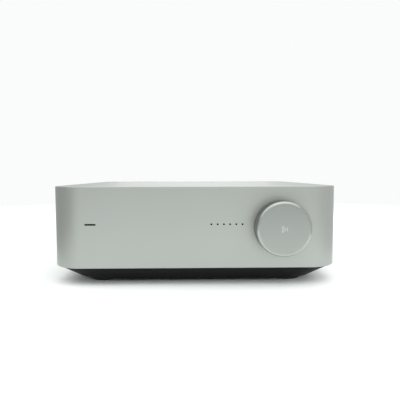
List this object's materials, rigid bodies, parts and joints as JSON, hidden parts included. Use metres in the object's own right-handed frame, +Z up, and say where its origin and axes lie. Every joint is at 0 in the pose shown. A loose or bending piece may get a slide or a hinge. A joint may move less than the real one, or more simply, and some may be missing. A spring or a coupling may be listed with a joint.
{
  "type": "audio amplifier",
  "caption": "Compact square desktop stereo streaming amplifier with a metal shell, a large front volume knob and a rear panel of audio, network and speaker sockets.",
  "frame": {"origin": "under the middle of the bounding box, on the surface that the feet stand on", "axes": "+X right seen from the front, +Y from the front to the rear sockets, +Z up"},
  "size_m": [0.19, 0.213, 0.064],
  "materials": {
    "anodised_shell": "fine bead-blasted, anodised grey",
    "knob_metal": "fine bead-blasted, anodised grey",
    "base_plastic": "moulded black, fine texture",
    "panel_plastic": "moulded black",
    "inlet_plastic": "moulded black",
    "inner_plastic": "moulded black",
    "shutter_plastic": "moulded dark grey",
    "bush_plastic": "moulded black",
    "foot_rubber": "matt black",
    "lead_rubber": "smooth black",
    "screw_steel": "zinc plated",
    "screw_black": "black oxide",
    "shaft_metal": "turned",
    "socket_steel": "bright plated",
    "tin_plate": "tin plated",
    "gold_brass": "gold plated",
    "nickel": "nickel plated",
    "copper": "enamelled copper",
    "cap_red": "moulded red",
    "cap_black": "moulded black",
    "phono_white": "moulded white",
    "phono_red": "moulded red",
    "phono_black": "moulded black",
    "status_lens": "dark tinted, clear",
    "level_lens": "dark tinted, clear",
    "led_white": "clear resin",
    "board_green": "solder mask over glass laminate",
    "power_board_green": "solder mask over glass laminate",
    "chip_epoxy": "moulded epoxy",
    "pad_silicone": "soft grey",
    "sink_aluminium": "black anodised, extruded",
    "ferrite": "sintered dark grey",
    "film_yellow": "potted yellow",
    "can_aluminium": "sleeved black",
    "antenna_film": "coated film",
    "connector_white": "moulded ivory",
    "ribbon_white": "laminated white"
  },
  "bodies": {
    "chassis": {"antenna_strip": "antenna_film", "base_screws": "screw_steel", "base_tray": "base_plastic", "board_screws": "screw_steel", "electrolytic_capacitors": "can_aluminium", "encoder_housing": "socket_steel", "encoder_nut": "screw_steel", "ferrite_cores": "ferrite", "film_capacitors": "film_yellow", "front_board": "board_green", "front_leds": "led_white", "hdmi_shell": "socket_steel", "heat_sinks": "sink_aluminium", "level_light_guide": "level_lens", "main_board": "board_green", "mains_fuse": "chip_epoxy", "mains_inlet": "inlet_plastic", "mains_pins": "nickel", "network_contacts": "gold_brass", "network_socket": "inlet_plastic", "optical_housing": "inlet_plastic", "output_inductors": "ferrite", "phono_barrels": "nickel", "phono_blocks": "panel_plastic", "phono_insert_black": "phono_black", "phono_insert_red": "phono_red", "phono_insert_white": "phono_white", "post_bushes": "bush_plastic", "post_nuts": "screw_steel", "post_studs": "gold_brass", "power_board": "power_board_green", "power_leads": "lead_rubber", "radio_shield": "tin_plate", "rear_panel": "panel_plastic", "rear_panel_screws": "screw_black", "ribbon_cable": "ribbon_white", "ribbon_connectors": "connector_white", "rubber_feet": "foot_rubber", "semiconductors": "chip_epoxy", "shell": "anodised_shell", "socket_tongues": "inner_plastic", "speaker_board": "board_green", "speaker_straps": "copper", "status_light_guide": "status_lens", "thermal_pad": "pad_silicone", "usb_shell": "socket_steel", "windings": "copper"},
    "encoder_turn": {"encoder_rotor": "inner_plastic"},
    "knob": {"volume_knob": "knob_metal", "encoder_shaft": "shaft_metal"},
    "switch_plunger": {"encoder_plunger": "inner_plastic"},
    "shutter": {"optical_shutter": "shutter_plastic"},
    "clamp_right_plus": {"clamp_washer_right_plus": "nickel"},
    "cap_right_plus": {"post_cap_right_plus": "cap_red"},
    "clamp_right_minus": {"clamp_washer_right_minus": "nickel"},
    "cap_right_minus": {"post_cap_right_minus": "cap_black"},
    "clamp_left_minus": {"clamp_washer_left_minus": "nickel"},
    "cap_left_minus": {"post_cap_left_minus": "cap_black"},
    "clamp_left_plus": {"clamp_washer_left_plus": "nickel"},
    "cap_left_plus": {"post_cap_left_plus": "cap_red"}
  },
  "joints": [
    {"name": "knob_turn", "type": "hinge", "parent": "chassis", "child": "encoder_turn", "pos_m": [0.05495, -0.095, 0.03765], "axis": [0, 1, 0], "continuous": true},
    {"name": "knob_press", "type": "slide", "parent": "encoder_turn", "child": "knob", "axis": [0, 1, 0], "range_m": [0, 0.0005], "stiffness_N_per_m": 4000, "springref_m": -0.0005},
    {"name": "plunger_press", "type": "slide", "parent": "chassis", "child": "switch_plunger", "axis": [0, 1, 0], "range_m": [0, 0.0005]},
    {"name": "shutter_swing", "type": "hinge", "parent": "chassis", "child": "shutter", "pos_m": [0.00635, 0.0914, 0.0268], "axis": [-1, 0, 0], "range_deg": [0, 80], "stiffness_Nm_per_rad": 0.0002, "springref_deg": -20.05},
    {"name": "clamp_slide_right_plus", "type": "slide", "parent": "chassis", "child": "clamp_right_plus", "axis": [0, 1, 0], "range_m": [0, 0.0042]},
    {"name": "cap_turn_right_plus", "type": "hinge", "parent": "clamp_right_plus", "child": "cap_right_plus", "pos_m": [0.056, 0.1, 0.042], "axis": [0, 1, 0], "range_deg": [0, 2161]},
    {"name": "clamp_slide_right_minus", "type": "slide", "parent": "chassis", "child": "clamp_right_minus", "axis": [0, 1, 0], "range_m": [0, 0.0042]},
    {"name": "cap_turn_right_minus", "type": "hinge", "parent": "clamp_right_minus", "child": "cap_right_minus", "pos_m": [0.03695, 0.1, 0.042], "axis": [0, 1, 0], "range_deg": [0, 2161]},
    {"name": "clamp_slide_left_minus", "type": "slide", "parent": "chassis", "child": "clamp_left_minus", "axis": [0, 1, 0], "range_m": [0, 0.0042]},
    {"name": "cap_turn_left_minus", "type": "hinge", "parent": "clamp_left_minus", "child": "cap_left_minus", "pos_m": [0.0179, 0.1, 0.042], "axis": [0, 1, 0], "range_deg": [0, 2161]},
    {"name": "clamp_slide_left_plus", "type": "slide", "parent": "chassis", "child": "clamp_left_plus", "axis": [0, 1, 0], "range_m": [0, 0.0042]},
    {"name": "cap_turn_left_plus", "type": "hinge", "parent": "clamp_left_plus", "child": "cap_left_plus", "pos_m": [-0.00115, 0.1, 0.042], "axis": [0, 1, 0], "range_deg": [0, 2161]}
  ],
  "couplings": [
    {"joint": "plunger_press", "follows": "knob_press", "ratio": 1},
    {"joint": "cap_turn_right_plus", "follows": "clamp_slide_right_plus", "rad_per_m": 8976},
    {"joint": "cap_turn_right_minus", "follows": "clamp_slide_right_minus", "rad_per_m": 8976},
    {"joint": "cap_turn_left_minus", "follows": "clamp_slide_left_minus", "rad_per_m": 8976},
    {"joint": "cap_turn_left_plus", "follows": "clamp_slide_left_plus", "rad_per_m": 8976}
  ]
}
